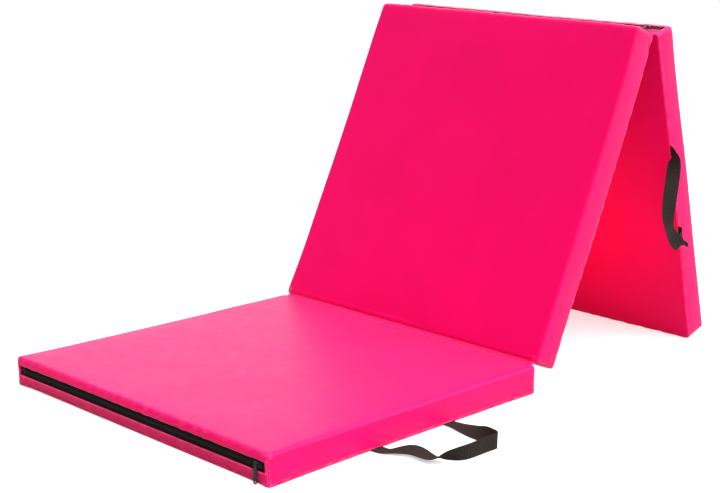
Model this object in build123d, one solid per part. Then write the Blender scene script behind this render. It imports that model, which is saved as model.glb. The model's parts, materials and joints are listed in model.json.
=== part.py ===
from build123d import *
import math
import os

os.makedirs("parts", exist_ok=True)

# Tri-fold exercise mat: three covered foam panels joined edge to edge. The base panel lies on
# the floor, the middle panel leans back from it and the rear panel props it up from behind.
# Millimetres. +X is the side with the carry handles, +Y runs from the zipped end of the base
# panel to the rear panel, +Z is up. Origin: centre of the base panel's underside.
# Each panel is drawn lying flat, near end at y = 0 and underside at z = 0, then folded.

# ---- sizes ---------------------------------------------------------------------------------
PANEL_W = 609.6  # 24 in, across the mat
PANEL_L = 609.6  # 24 in, along the mat
PANEL_T = 50.8  # 2 in
CORNER_R = 8.0  # upright corner edges
TOP_R = 7.0  # soft upper edges
SEAM_R = 2.5  # tighter lower edges
SKIN = 1.0  # cover with its backing
SKIN_GAP = 0.2  # cover to foam
SEAM_Z = 4.0  # the upper cover is sewn to the turned-up base sheet here

FRONT_GAP = 0.8  # front hinge line to each panel's end
REAR_GAP = 3.2  # rear hinge line to each panel's end: two zippers meet there
FOLD_GAP = 0.6  # either hinge line to the faces that fold together
FRONT_ANGLE = 65.5  # middle panel above the floor
HINGE_CLOTH_T = 0.35
HINGE_CLOTH_REACH = 16.0

# Zipper: tape, two coil rows, slider and pull
ZIP_Z = 29.0
ZIP_OPEN_H = 17.0  # height of tape in view
ZIP_HALF = 297.0
TAPE_T = 0.8
TAPE_TUCK = 4.0  # tape sewn behind the cover
COIL_W = 2.2
COIL_T = 1.8
COIL_GAP = 1.6  # the slider's divider runs between the rows
COIL_START = -284.0
COIL_END = 291.0
STOP_L = 2.5
SLIDER_L = 11.0
SLIDER_H = 9.6
PLATE_T = 0.9
RUN_CLEAR = 0.3
PULL_BELOW = 28.0  # crown bar to the tip
PULL_W = 7.5
PULL_NECK_W = 4.4
PULL_T = 1.2
EYE_R = 1.25
EYE_HOLE_R = 0.75
BAR_R = 0.45
PULL_HOLE_R = 2.0
SLIDER_X = {"a": 284.0, "b": 285.0, "c": 266.0}

# Handles: one folded length of webbing each
STRAP_W = 25.0
STRAP_T = 1.4
ANCHOR_OFF = 83.0  # strap end to the middle of the panel
ANCHOR_Z = 1.75
TAB_IN = 16.0  # sewn inside the cover
STRAP_START = 1.6  # first free point outside the side wall

HALF_W = PANEL_W / 2
TAPE_OUT = SKIN  # depth of the tape's outer face below the end face
COIL_TOP = TAPE_OUT - COIL_T
PLATE_IN = COIL_TOP - RUN_CLEAR
PLATE_OUT = PLATE_IN - PLATE_T
BAR_DEPTH = PLATE_OUT - 0.25 - EYE_R
BACK_PLATE = TAPE_OUT + TAPE_T + RUN_CLEAR
COIL_INNER = COIL_GAP / 2


# ---- where the panels stand ----------------------------------------------------------------
def rear_fold():
    """Angle between the middle and rear panels' planes that puts the rear foot on the floor."""
    lean = math.radians(FRONT_ANGLE)
    span = FRONT_GAP + PANEL_L + REAR_GAP
    hinge_z = PANEL_T + FOLD_GAP + span * math.sin(lean)
    hinge_z -= (PANEL_T + 2 * FOLD_GAP) * math.cos(lean)
    reach = REAR_GAP + PANEL_L
    slope = math.asin(hinge_z / math.hypot(reach, FOLD_GAP)) + math.atan2(FOLD_GAP, reach)
    return FRONT_ANGLE + math.degrees(slope)


REAR_ANGLE = rear_fold()
PLACE_A = Location((0, -PANEL_L / 2, 0))
PLACE_B = (
    Location((0, PANEL_L / 2 + FRONT_GAP, PANEL_T + FOLD_GAP), (FRONT_ANGLE, 0, 0))
    * Location((0, FRONT_GAP, -PANEL_T - FOLD_GAP))
)
REAR_HINGE = PLACE_B * Location((0, PANEL_L + REAR_GAP, -FOLD_GAP))
PLACE_C = REAR_HINGE * Location((0, 0, 0), (-REAR_ANGLE, 0, 0)) * Location((0, REAR_GAP, FOLD_GAP))
PLACES = {"a": PLACE_A, "b": PLACE_B, "c": PLACE_C}


def save(name, shape):
    shape.label = name
    export_step(shape, f"parts/{name}.step")


def box(x0, x1, y0, y1, z0, z1):
    middle = ((x0 + x1) / 2, (y0 + y1) / 2, (z0 + z1) / 2)
    return Pos(*middle) * Box(x1 - x0, y1 - y0, z1 - z0)


def cushion(inset):
    """The panel's outside, or the same form pushed in all round."""
    block = box(-HALF_W + inset, HALF_W - inset, inset, PANEL_L - inset, inset, PANEL_T - inset)
    block = fillet(block.edges().filter_by(Axis.Z), CORNER_R - inset)
    block = fillet(block.faces().sort_by(Axis.Z)[-1].edges(), TOP_R - inset)
    return fillet(block.faces().sort_by(Axis.Z)[0].edges(), max(SEAM_R - inset, 0.6))


def end_box(x0, x1, deep0, deep1, z0, z1):
    """Box at the y = 0 end face, given by depths behind it; a negative depth stands proud."""
    return box(x0, x1, deep0, deep1, z0, z1)


# ---- zipper, drawn on the y = 0 end face ----------------------------------------------------
def zip_tape(side):
    near, far = COIL_INNER + 0.2, ZIP_OPEN_H / 2 + TAPE_TUCK
    z0, z1 = sorted((ZIP_Z + side * near, ZIP_Z + side * far))
    return end_box(-ZIP_HALF, ZIP_HALF, TAPE_OUT, TAPE_OUT + TAPE_T, z0, z1)


def zip_coil(side):
    z0, z1 = sorted((ZIP_Z + side * COIL_INNER, ZIP_Z + side * (COIL_INNER + COIL_W)))
    row = end_box(COIL_START, COIL_END, COIL_TOP, TAPE_OUT, z0, z1)
    return fillet(row.edges().filter_by(Axis.X).group_by(Axis.Y)[0], 0.6)


def zip_stops():
    stops = []
    for side in (-1, 1):
        z0, z1 = sorted((ZIP_Z + side * COIL_INNER, ZIP_Z + side * (COIL_INNER + COIL_W + 0.6)))
        for x in (COIL_START - STOP_L, COIL_END):
            stop = end_box(x, x + STOP_L, COIL_TOP - 0.2, TAPE_OUT, z0, z1)
            stops.append(fillet(stop.edges().filter_by(Axis.Y), 0.4))
    return stops[0] + stops[1] + stops[2] + stops[3]


def slider_plate(half_h, deep0, deep1):
    """Plate with its leading end narrowed, as a slider's two shields are."""
    a, b = -SLIDER_L / 2, SLIDER_L / 2
    nose = half_h * 0.62
    points = [(a, -half_h), (b - 3.0, -half_h), (b, -nose), (b, nose), (b - 3.0, half_h), (a, half_h)]
    plate = extrude(make_face(Polyline(points, close=True)), deep1 - deep0)
    plate = Location((0, deep1, 0), (90, 0, 0)) * plate
    return fillet(plate.edges().filter_by(Axis.Y), 0.6)


def zip_slider(x):
    half_l, half_h = SLIDER_L / 2, SLIDER_H / 2
    lip = 1.0
    coil_side = COIL_INNER + COIL_W + RUN_CLEAR
    body = slider_plate(half_h, PLATE_OUT, PLATE_IN)
    body += slider_plate(half_h, BACK_PLATE, BACK_PLATE + PLATE_T)
    for side in (-1, 1):
        z0, z1 = sorted((side * coil_side, side * (coil_side + lip)))
        body += box(-half_l + 0.8, half_l - 3.2, PLATE_IN - 0.3, TAPE_OUT - RUN_CLEAR, z0, z1)
    web_half = COIL_GAP / 2 - RUN_CLEAR
    body += box(0.5, half_l - 0.6, PLATE_IN - 0.3, BACK_PLATE + 0.3, -web_half, web_half)
    for end in (-1, 1):
        x0, x1 = sorted((end * (PULL_NECK_W / 2 + 0.4), end * (PULL_NECK_W / 2 + 1.4)))
        body += box(x0, x1, BAR_DEPTH - BAR_R, PLATE_OUT + 0.3, -0.6, 0.6)
    bar_half = PULL_NECK_W / 2 + 1.0
    bar = Location((0, BAR_DEPTH, 0), (0, 90, 0)) * Cylinder(BAR_R, 2 * bar_half)
    return Pos(x, 0, ZIP_Z) * (body + bar)


def zip_pull(x):
    """Flat tab hanging from an eye round the slider's crown bar."""
    neck_end, shoulder = -3.0, -6.0
    half_n, half_w = PULL_NECK_W / 2, PULL_W / 2
    tip = -PULL_BELOW + half_w
    points = [
        (-half_n, -EYE_R * 0.8), (-half_n, neck_end), (-half_w, shoulder), (-half_w, tip),
        (half_w, tip), (half_w, shoulder), (half_n, neck_end), (half_n, -EYE_R * 0.8),
    ]
    flat = make_face(Polyline(points, close=True)) + Pos(0, tip) * Circle(half_w)
    flat -= Pos(0, tip) * Circle(PULL_HOLE_R)
    plate = extrude(flat, PULL_T / 2, both=True)
    plate = Location((0, 0, 0), (90, 0, 0)) * plate
    turn = Location((0, 0, 0), (0, 90, 0))
    eye = turn * Cylinder(EYE_R, PULL_NECK_W)
    bore = turn * Cylinder(EYE_HOLE_R, PULL_NECK_W + 2)
    return Pos(x, BAR_DEPTH, ZIP_Z) * (eye + plate - bore)


# ---- handles --------------------------------------------------------------------------------
def smooth(points, steps):
    """Points along a rounded path through the given ones (each any number of values)."""
    out = []
    padded = [points[0], *points, points[-1]]
    for i in range(1, len(padded) - 2):
        p0, p1, p2, p3 = padded[i - 1 : i + 3]
        for k in range(steps):
            t = k / steps
            out.append(tuple(
                0.5 * (2 * b + (c - a) * t + (2 * a - 5 * b + 4 * c - d) * t * t
                       + (3 * b - a - 3 * c + d) * t ** 3)
                for a, b, c, d in zip(p0, p1, p2, p3)
            ))
    return [*out, points[-1]]


def ribbon(stations, steps):
    """Strap through (x, y, z, and the direction of its outer edge), as one closed solid."""
    path = smooth(stations, steps)
    rings = []
    for i, p in enumerate(path):
        centre = Vector(*p[:3])
        before, after = Vector(*path[max(i - 1, 0)][:3]), Vector(*path[min(i + 1, len(path) - 1)][:3])
        along = (after - before).normalized()
        if i in (0, len(path) - 1):  # the strap leaves its seam square to the side wall
            along = Vector(1 if i == 0 else -1, 0, 0)
        wide = Vector(*p[3:])
        wide = (wide - along * wide.dot(along)).normalized()
        up = along.cross(wide)
        w, u = wide * (STRAP_W / 2), up * (STRAP_T / 2)
        corners = [centre - w - u, centre + w - u, centre + w + u, centre - w + u]
        rings.append(Wire.make_polygon(corners, close=True))
    return Solid.make_loft(rings, ruled=True)


def handle_base():
    """Loop at rest on the floor: flat where it is sewn, standing on edge at the grip."""
    out, mid = HALF_W, PANEL_L / 2
    loop = [
        (STRAP_START, -ANCHOR_OFF, ANCHOR_Z, 0, -1, 0),
        (6, -ANCHOR_OFF, ANCHOR_Z, 0, -1, 0),
        (20, -79, 1.9, 0, -1, 0),
        (52, -60, 8.2, 0.15, -0.94, -0.28),
        (92, -60, 6.6, 0.5, -0.82, 0.1),
        (109, -47, 12.2, 0.42, -0.46, 0.78),
        (121, -20, 13.4, 0.08, -0.08, 0.99),
        (122, 8, 13.4, 0, 0, 1),
        (122, 34, 13.4, 0, 0, 1),
        (121, 55, 13.4, 0, 0, 1),
        (103, 61, 13.4, 0, 0.15, 0.98),
        (60, 70, 7.6, 0, 0.87, 0.5),
        (24, 80, 3.4, 0, 1, 0.08),
        (6, ANCHOR_OFF, ANCHOR_Z, 0, 1, 0),
        (STRAP_START, ANCHOR_OFF, ANCHOR_Z, 0, 1, 0),
    ]
    return ribbon([(out + x, mid + y, *rest) for x, y, *rest in loop], 3)


def handle_rear():
    """The same loop hanging from the rear panel's inner edge."""
    out, mid = HALF_W, PANEL_L / 2
    loop = [
        (STRAP_START, -ANCHOR_OFF, ANCHOR_Z, 0, -1, 0),
        (5, -ANCHOR_OFF, ANCHOR_Z, 0, -1, 0),
        (10.5, -78, -2, 0.18, -0.94, 0.25),
        (16.5, -61, -16, 0.58, -0.46, 0.6),
        (24, -34, -39, 0.73, 0.15, 0.65),
        (29, -9, -58, 0.62, 0.12, 0.75),
        (32, 15, -69, 0.35, 0.1, 0.93),
        (34, 37, -70, 0, 0.1, 1),
        (33, 60, -59, 0.2, -0.25, 0.92),
        (29, 84, -38, 0.41, -0.54, 0.74),
        (19, 92, -20, 0.2, 0.3, 0.93),
        (10, 87, -4, 0, 0.97, 0.2),
        (6, ANCHOR_OFF, ANCHOR_Z, 0, 1, 0),
        (STRAP_START, ANCHOR_OFF, ANCHOR_Z, 0, 1, 0),
    ]
    return ribbon([(out + x, mid + y, *rest) for x, y, *rest in loop], 3)


def tab_box(side, grow):
    y = PANEL_L / 2 + side * ANCHOR_OFF
    half_w, half_t = STRAP_W / 2 + grow, STRAP_T / 2 + grow
    return box(HALF_W - TAB_IN, HALF_W, y - half_w, y + half_w, ANCHOR_Z - half_t, ANCHOR_Z + half_t)


# ---- one panel ------------------------------------------------------------------------------
def build_panel(key, zip_at_far_end, has_handle):
    """Foam, cover, zipper and handle of one panel, saved in place."""
    half_turn = Location((0, PANEL_L, 0)) * Location((0, 0, 0), (0, 0, 180))
    place = PLACES[key]

    def to_end(shape):
        return half_turn * shape if zip_at_far_end else shape

    foam = cushion(SKIN + SKIN_GAP)
    tape_top = ZIP_OPEN_H / 2 + TAPE_TUCK + 0.5
    pocket = TAPE_OUT + TAPE_T + 0.2
    foam -= to_end(end_box(-HALF_W, HALF_W, -1, pocket, ZIP_Z - tape_top, ZIP_Z + tape_top))
    groove_h = SLIDER_H / 2 + 1.5
    groove = BACK_PLATE + PLATE_T + 0.6
    foam -= to_end(end_box(-HALF_W, HALF_W, -1, groove, ZIP_Z - groove_h, ZIP_Z + groove_h))

    shell = cushion(0) - cushion(SKIN)
    half_open = ZIP_OPEN_H / 2
    shell -= to_end(end_box(-ZIP_HALF, ZIP_HALF, -1, SKIN, ZIP_Z - half_open, ZIP_Z + half_open))
    below = box(-PANEL_W, PANEL_W, -10, PANEL_L + 10, -1, SEAM_Z)
    strip = to_end(end_box(-ZIP_HALF, ZIP_HALF, -1, SKIN, SEAM_Z, ZIP_Z - half_open))
    base = shell & below
    end_strip = shell & strip
    upper = shell - below - strip

    if has_handle:
        tabs = []
        for side in (-1, 1):
            base -= tab_box(side, 0)
            foam -= tab_box(side, 0.2)
            tabs.append(tab_box(side, 0))
        save(f"handle_tabs_{key}", place * (tabs[0] + tabs[1]))

    # The zipper is drawn for the handle side at +X; at the far end the half turn is undone in x.
    flip = -1 if zip_at_far_end else 1
    x = flip * SLIDER_X[key]
    save(f"foam_core_{key}", place * foam)
    save(f"cover_base_{key}", place * base)
    save(f"cover_top_{key}", place * upper)
    save(f"end_strip_{key}", place * end_strip)
    for name, side in (("upper", 1), ("lower", -1)):
        save(f"zip_tape_{name}_{key}", place * to_end(zip_tape(side)))
        coil = zip_coil(side) if flip > 0 else mirror(zip_coil(side), Plane.YZ)
        save(f"zip_coil_{name}_{key}", place * to_end(coil))
    stops = zip_stops() if flip > 0 else mirror(zip_stops(), Plane.YZ)
    save(f"zip_stops_{key}", place * to_end(stops))
    slider = zip_slider(abs(x)) if flip > 0 else mirror(zip_slider(abs(x)), Plane.YZ)
    save(f"zip_slider_{key}", place * to_end(slider))
    save(f"zip_pull_{key}", place * to_end(zip_pull(x)))


def hinge_cloth(reach, gap, fold):
    """Cloth laid over a hinge line, flat on both faces it joins; drawn about the hinge line."""
    half_w = HALF_W - CORNER_R
    near = box(-half_w, half_w, -gap - reach, -0.05, -HINGE_CLOTH_T / 2, HINGE_CLOTH_T / 2)
    far = box(-half_w, half_w, 0.05, gap + reach, -HINGE_CLOTH_T / 2, HINGE_CLOTH_T / 2)
    far = Location((0, 0, 0), (fold, 0, 0)) * far
    bead = Location((0, 0, 0), (0, 90, 0)) * Cylinder(HINGE_CLOTH_T / 2 + 0.02, 2 * half_w)
    return near + far + bead


build_panel("a", zip_at_far_end=False, has_handle=True)
build_panel("b", zip_at_far_end=True, has_handle=False)
build_panel("c", zip_at_far_end=False, has_handle=True)
save("handle_strap_a", PLACE_A * handle_base())
save("handle_strap_c", PLACE_C * handle_rear())

front_line = Location((0, PANEL_L / 2 + FRONT_GAP, PANEL_T + FOLD_GAP))
save("hinge_cloth_front", front_line * hinge_cloth(HINGE_CLOTH_REACH, FRONT_GAP, FRONT_ANGLE))
save("hinge_cloth_rear", REAR_HINGE * hinge_cloth(HINGE_CLOTH_REACH, REAR_GAP, -REAR_ANGLE))
print("rear fold", round(REAR_ANGLE, 3), "rear slope", round(REAR_ANGLE - FRONT_ANGLE, 3))
for line_name, line in (("front", front_line), ("rear", REAR_HINGE)):
    print(line_name, "hinge", [round(v, 4) for v in line.position])
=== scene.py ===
import json
import math
import random

import bpy
import numpy as np
from mathutils import Matrix, Vector, kdtree


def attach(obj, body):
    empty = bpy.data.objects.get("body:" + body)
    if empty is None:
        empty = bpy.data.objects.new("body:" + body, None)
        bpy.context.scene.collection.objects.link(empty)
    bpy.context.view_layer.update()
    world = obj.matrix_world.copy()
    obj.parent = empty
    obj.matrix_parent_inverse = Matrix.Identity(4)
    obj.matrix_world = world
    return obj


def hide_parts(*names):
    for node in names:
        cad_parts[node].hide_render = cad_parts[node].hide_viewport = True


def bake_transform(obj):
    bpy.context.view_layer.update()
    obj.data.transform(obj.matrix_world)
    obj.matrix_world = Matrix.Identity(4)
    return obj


# Folding gym mat: three foam panels in a coated vinyl cover, folded like a Z. Metres, row frame.

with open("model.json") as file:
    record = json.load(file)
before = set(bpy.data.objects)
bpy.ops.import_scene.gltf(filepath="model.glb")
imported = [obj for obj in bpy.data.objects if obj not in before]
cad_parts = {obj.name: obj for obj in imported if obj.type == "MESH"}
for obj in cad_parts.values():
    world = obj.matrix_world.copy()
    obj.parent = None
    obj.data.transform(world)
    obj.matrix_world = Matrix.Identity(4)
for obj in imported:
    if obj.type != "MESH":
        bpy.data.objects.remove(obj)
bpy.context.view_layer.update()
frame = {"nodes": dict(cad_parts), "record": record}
joints = {joint["name"]: joint for joint in frame["record"]["behaviour"]["joints"]}
scene = bpy.context.scene

# ---- sizes, as in the CAD part -----------------------------------------------------------------
WIDTH = 0.6096
LENGTH = 0.6096
THICK = 0.0508
FRONT_GAP = 0.0008
REAR_GAP = 0.0032
FOLD_GAP = 0.0006
HALF = WIDTH / 2
ZIP_T = 0.029
ZIP_HALF_OPEN = 0.0085
ZIP_HALF = 0.297
SLIDER_X = {"a": 0.284, "b": 0.285, "c": 0.266}
HINGE_FRONT = Vector(joints["fold_front"]["pos_m"])
HINGE_REAR = Vector(joints["fold_rear"]["pos_m"])
FRONT_LEAN = math.radians(-joints["fold_front"]["range_deg"][0])
REAR_REACH = REAR_GAP + LENGTH
REAR_LEAN = math.asin(HINGE_REAR.z / math.hypot(REAR_REACH, FOLD_GAP)) + math.atan2(FOLD_GAP, REAR_REACH)

HALF_TURN = Matrix.Translation((0, LENGTH, 0)) @ Matrix.Rotation(math.pi, 4, "Z")
PLACE = {
    "a": Matrix.Translation((0, -LENGTH / 2, 0)),
    "b": Matrix.Translation(HINGE_FRONT)
    @ Matrix.Rotation(FRONT_LEAN, 4, "X")
    @ Matrix.Translation((0, FRONT_GAP, -THICK - FOLD_GAP)),
    "c": Matrix.Translation(HINGE_REAR)
    @ Matrix.Rotation(-REAR_LEAN, 4, "X")
    @ Matrix.Translation((0, REAR_GAP, FOLD_GAP)),
}
# The zipped end is at s = 0 of each panel's own drawing; the middle panel's zip is at its far end.
ZIP_PLACE = {"a": PLACE["a"], "b": PLACE["b"] @ HALF_TURN, "c": PLACE["c"]}
BODY = {"a": "base_panel", "b": "middle_panel", "c": "rear_panel"}


# ---- meshes ------------------------------------------------------------------------------------
def new_object(name, points, faces, material, smooth=True, uv=None):
    mesh = bpy.data.meshes.new(name)
    mesh.from_pydata([tuple(p) for p in points], [], faces)
    mesh.update()
    if uv is not None:
        layer = mesh.uv_layers.new(name="UVMap")
        corners = np.empty(len(mesh.loops), dtype=np.int32)
        mesh.loops.foreach_get("vertex_index", corners)
        layer.data.foreach_set("uv", np.asarray(uv, dtype=np.float32)[corners].ravel())
    if smooth:
        mesh.shade_smooth()
    mesh.materials.append(material)
    obj = bpy.data.objects.new(name, mesh)
    scene.collection.objects.link(obj)
    return obj


def per_vertex(mesh, what):
    flat = np.empty(len(mesh.vertices) * 3, dtype=np.float64)
    mesh.vertices.foreach_get(what, flat)
    return flat.reshape(-1, 3)


def move_to(mesh, points):
    mesh.vertices.foreach_set("co", np.asarray(points, dtype=np.float32).ravel())
    mesh.update()


def baked(obj):
    """The object with its modifiers applied."""
    bpy.context.view_layer.update()
    graph = bpy.context.evaluated_depsgraph_get()
    mesh = bpy.data.meshes.new_from_object(obj.evaluated_get(graph), depsgraph=graph)
    old = obj.data
    obj.modifiers.clear()
    obj.data = mesh
    mesh.name = obj.name
    bpy.data.meshes.remove(old)
    mesh.shade_smooth()
    return obj


def subdivided(obj, levels=1):
    smooth = obj.modifiers.new("smooth", "SUBSURF")
    smooth.levels = smooth.render_levels = levels
    smooth.boundary_smooth = "PRESERVE_CORNERS"
    return baked(obj)


def step(low, high, value):
    """Smooth step from 0 at low to 1 at high."""
    t = np.clip((value - low) / (high - low), 0, 1)
    return t * t * (3 - 2 * t)


def ring_of(n):
    """The order of points round a strip's section: along its first face and back along the other."""
    return list(range(n)) + list(range(2 * n - 1, n - 1, -1))


def wrap(faces, start, count, ring):
    """Faces round a strip of count steps, and one over each end."""
    n = len(ring)
    for i in range(count):
        a, b = start + i * n, start + (i + 1) * n
        for p, q in zip(ring, ring[1:] + ring[:1]):
            faces.append((a + p, a + q, b + q, b + p))
    faces.append(tuple(start + r for r in reversed(ring)))
    faces.append(tuple(start + count * n + r for r in ring))


# ---- cover of one panel ------------------------------------------------------------------------
CORNER_R = 0.0070
TOP_R = 0.0055
SEAM_R = 0.0020  # both up the wall and in from it
SEAM_T = 0.004
POCKET = 0.0042
SWELL = 0.0018
TOP_INSET = 0.0013
EDGE_LINES = [0.0, 0.0016, 0.004, 0.0078, 0.0115, 0.018]


def lines(total, pitch, near=EDGE_LINES):
    """Lattice lines, close together near both ends."""
    count = max(2, round((total - 2 * near[-1]) / pitch))
    middle = np.linspace(near[-1], total - near[-1], count + 1)
    return np.array([*near[:-1], *middle, *(total - f for f in near[:-1][::-1])])


def lattice(xs, ss, ts, skip=lambda x_pair, t_pair: False):
    """Quads on the outside of a block. skip leaves out cells of the zipped end."""
    index, points, faces = {}, [], []

    def at(i, j, k):
        if (i, j, k) not in index:
            index[i, j, k] = len(points)
            points.append((xs[i], ss[j], ts[k]))
        return index[i, j, k]

    nx, ns, nt = len(xs), len(ss), len(ts)
    for i in range(nx - 1):
        for j in range(ns - 1):
            k = nt - 1
            faces.append((at(i, j, k), at(i + 1, j, k), at(i + 1, j + 1, k), at(i, j + 1, k)))
            faces.append((at(i, j, 0), at(i, j + 1, 0), at(i + 1, j + 1, 0), at(i + 1, j, 0)))
        for k in range(nt - 1):
            if not skip(xs[i : i + 2], ts[k : k + 2]):
                faces.append((at(i, 0, k), at(i + 1, 0, k), at(i + 1, 0, k + 1), at(i, 0, k + 1)))
            j = ns - 1
            faces.append((at(i, j, k), at(i, j, k + 1), at(i + 1, j, k + 1), at(i + 1, j, k)))
    for j in range(ns - 1):
        for k in range(nt - 1):
            i = nx - 1
            faces.append((at(i, j, k), at(i, j + 1, k), at(i, j + 1, k + 1), at(i, j, k + 1)))
            faces.append((at(0, j, k), at(0, j, k + 1), at(0, j + 1, k + 1), at(0, j + 1, k)))
    return np.array(points), faces, index


def rounded(points, inset_top, inset_side, inset_base):
    """The block's lattice pulled onto rounded edges, inset from the nominal faces."""
    size_low = np.array([-HALF + inset_side, inset_side, inset_base])
    size_high = np.array([HALF - inset_side, LENGTH - inset_side, THICK - inset_top])
    low = np.array([-HALF, 0, 0])
    high = np.array([HALF, LENGTH, THICK])
    p = size_low + (points - low) / (high - low) * (size_high - size_low)
    centre = np.clip(
        p,
        size_low + [CORNER_R, CORNER_R, SEAM_R],
        size_high - [CORNER_R, CORNER_R, TOP_R],
    )
    away = p - centre
    radius = np.where(away[:, 2:] > 0, [[CORNER_R, CORNER_R, TOP_R]], [[CORNER_R, CORNER_R, SEAM_R]])
    unit = away / radius
    length = np.linalg.norm(unit, axis=1, keepdims=True)
    length[length < 1e-9] = 1
    unit /= length
    result = centre + unit * radius
    # below, only the corners seen from above are wide; the foot edge itself is tight
    flat = np.linalg.norm(unit[:, :2], axis=1)
    below = (away[:, 2] < -1e-9) & (flat > 1e-6)
    reach = (CORNER_R - SEAM_R * (1 - flat)) / np.maximum(flat, 1e-6)
    result[below, :2] = centre[below, :2] + unit[below, :2] * reach[below, None]
    return result


def swelling():
    """How a sewn cover wants to swell round its block: a cloth simulation under pressure.

    Returns (lattice points, moves), the moves scaled to at most 1."""
    near = [0, 0.004, 0.010]
    xs = lines(WIDTH, 0.012, near) - HALF
    ss = lines(LENGTH, 0.012, near)
    ts = np.array([0, 0.004, 0.012, 0.0205, 0.029, 0.0375, 0.0445, THICK])
    points, faces, _ = lattice(xs, ss, ts)
    start = rounded(points, 0.0, 0.0, 0.0)
    mesh = bpy.data.meshes.new("swelling")
    mesh.from_pydata(start.tolist(), [], faces)
    obj = bpy.data.objects.new("swelling", mesh)
    scene.collection.objects.link(obj)
    cloth = obj.modifiers.new("cloth", "CLOTH")
    cloth.collision_settings.use_collision = False
    cloth.point_cache.frame_start, cloth.point_cache.frame_end = 1, 20
    settings = cloth.settings
    settings.quality = 5
    settings.mass = 0.3
    settings.tension_stiffness = settings.compression_stiffness = 60
    settings.shear_stiffness = 20
    settings.bending_stiffness = 5
    settings.use_pressure = True
    settings.uniform_pressure_force = 1
    settings.effector_weights.gravity = 0
    for number in range(1, 21):
        scene.frame_set(number)
    end = per_vertex(obj.evaluated_get(bpy.context.evaluated_depsgraph_get()).data, "co")
    bpy.data.objects.remove(obj)
    scene.frame_set(1)
    move = end - start
    size = np.linalg.norm(move, axis=1, keepdims=True)
    share = (size / size.max()) ** 0.7  # foam inside holds the middle back, so the rim takes more
    return points, move / np.maximum(size, 1e-9) * share


def interpolated(points, field, targets, count=8, spread=0.010):
    """The field at each target, weighted from its nearest lattice points."""
    tree = kdtree.KDTree(len(points))
    for i, p in enumerate(points):
        tree.insert(p, i)
    tree.balance()
    result = np.empty_like(targets)
    for i, target in enumerate(targets):
        found = tree.find_n(target, count)
        weights = np.array([math.exp(-((d / spread) ** 2)) + 1e-9 for _, _, d in found])
        result[i] = weights @ field[[n for _, n, _ in found]] / weights.sum()
    return result


COVER_X = lines(WIDTH, 0.0125) - HALF
COVER_S = lines(LENGTH, 0.0125)
OPEN_LOW, OPEN_HIGH = 0.0205, 0.0375  # edges of the zip's opening
BELOW_SEAM, ABOVE_SEAM = 0.003, 0.0056  # lattice lines on either side of the foot seam
COVER_T = np.array([0, 0.0007, 0.0018, BELOW_SEAM, 0.0036, SEAM_T, 0.0046, ABOVE_SEAM, 0.008, 0.0125, 0.017,
                    0.0192, OPEN_LOW, 0.0247, 0.029, 0.0333, OPEN_HIGH, 0.0388, 0.041, 0.0432, 0.0458, 0.0482,
                    0.0498, THICK])
WINDOW_LOW = int(np.argmin(abs(COVER_T - OPEN_LOW)))
WINDOW_HIGH = int(np.argmin(abs(COVER_T - OPEN_HIGH)))
WINDOW_IN = EDGE_LINES.index(0.0078)
WINDOW_X = (WINDOW_IN, len(COVER_X) - 1 - WINDOW_IN)


def in_window(x_pair, t_pair):
    """Whether a lattice cell of the zipped end lies in the zip's opening."""
    return (
        x_pair[0] >= -ZIP_HALF - 1e-4
        and x_pair[1] <= ZIP_HALF + 1e-4
        and t_pair[0] >= COVER_T[WINDOW_LOW] - 1e-6
        and t_pair[1] <= COVER_T[WINDOW_HIGH] + 1e-6
    )


BOW = {"a": 0.0, "b": -0.0042, "c": 0.0048}  # the propped panels bend a little, b back and c out
EAR, RIDGE_EAR, EAR_REACH = 0.0016, -0.0030, 0.045  # corners stand out; b's at the ridge are drawn in
BELLY = 0.0013  # how far a side wall stands out at mid height
SEAM_GROOVE, SEAM_BANK = 0.0014, 0.0004  # the foot seam, and the cloth that stands up beside it
CORNER_GROOVE, CORNER_BANK = 0.0009, 0.0002  # the same for the seam up each corner
ZIP_HEM = 0.0007
BROAD_WAVE, FOOT_PUCKER, LIP_PUCKER, ROLL_PUCKER, CORNER_DENT = 0.0006, 0.0011, 0.0009, 0.0010, 0.00016
END_GIVE = 0.0003  # the most that a hinged end may stand past its nominal face
ON = 1e-6  # tolerance for a lattice point to count as on a face or line
CORNERS = [(cx, cs) for cx in (-HALF, HALF) for cs in (0, LENGTH)]


def bow(key, s):
    """How far a panel's middle surface is bent off its plane."""
    return BOW[key] * np.sin(np.pi * np.clip(s / LENGTH, 0, 1))


def waves(points, seed, amount, shortest, longest, count=14):
    """Gentle unevenness: a sum of waves over the panel, the same on each run."""
    rng = random.Random(seed)
    total = np.zeros(len(points))
    for _ in range(count):
        heading, length = rng.uniform(0, math.pi), rng.uniform(shortest, longest)
        phase, skew = rng.uniform(0, 2 * math.pi), rng.uniform(0.5, 1.5)
        along = points[:, 0] * math.cos(heading) + points[:, 1] * math.sin(heading) + points[:, 2] * skew
        total += np.sin(2 * math.pi * along / length + phase) * length
    return total / np.abs(total).max() * amount


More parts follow.
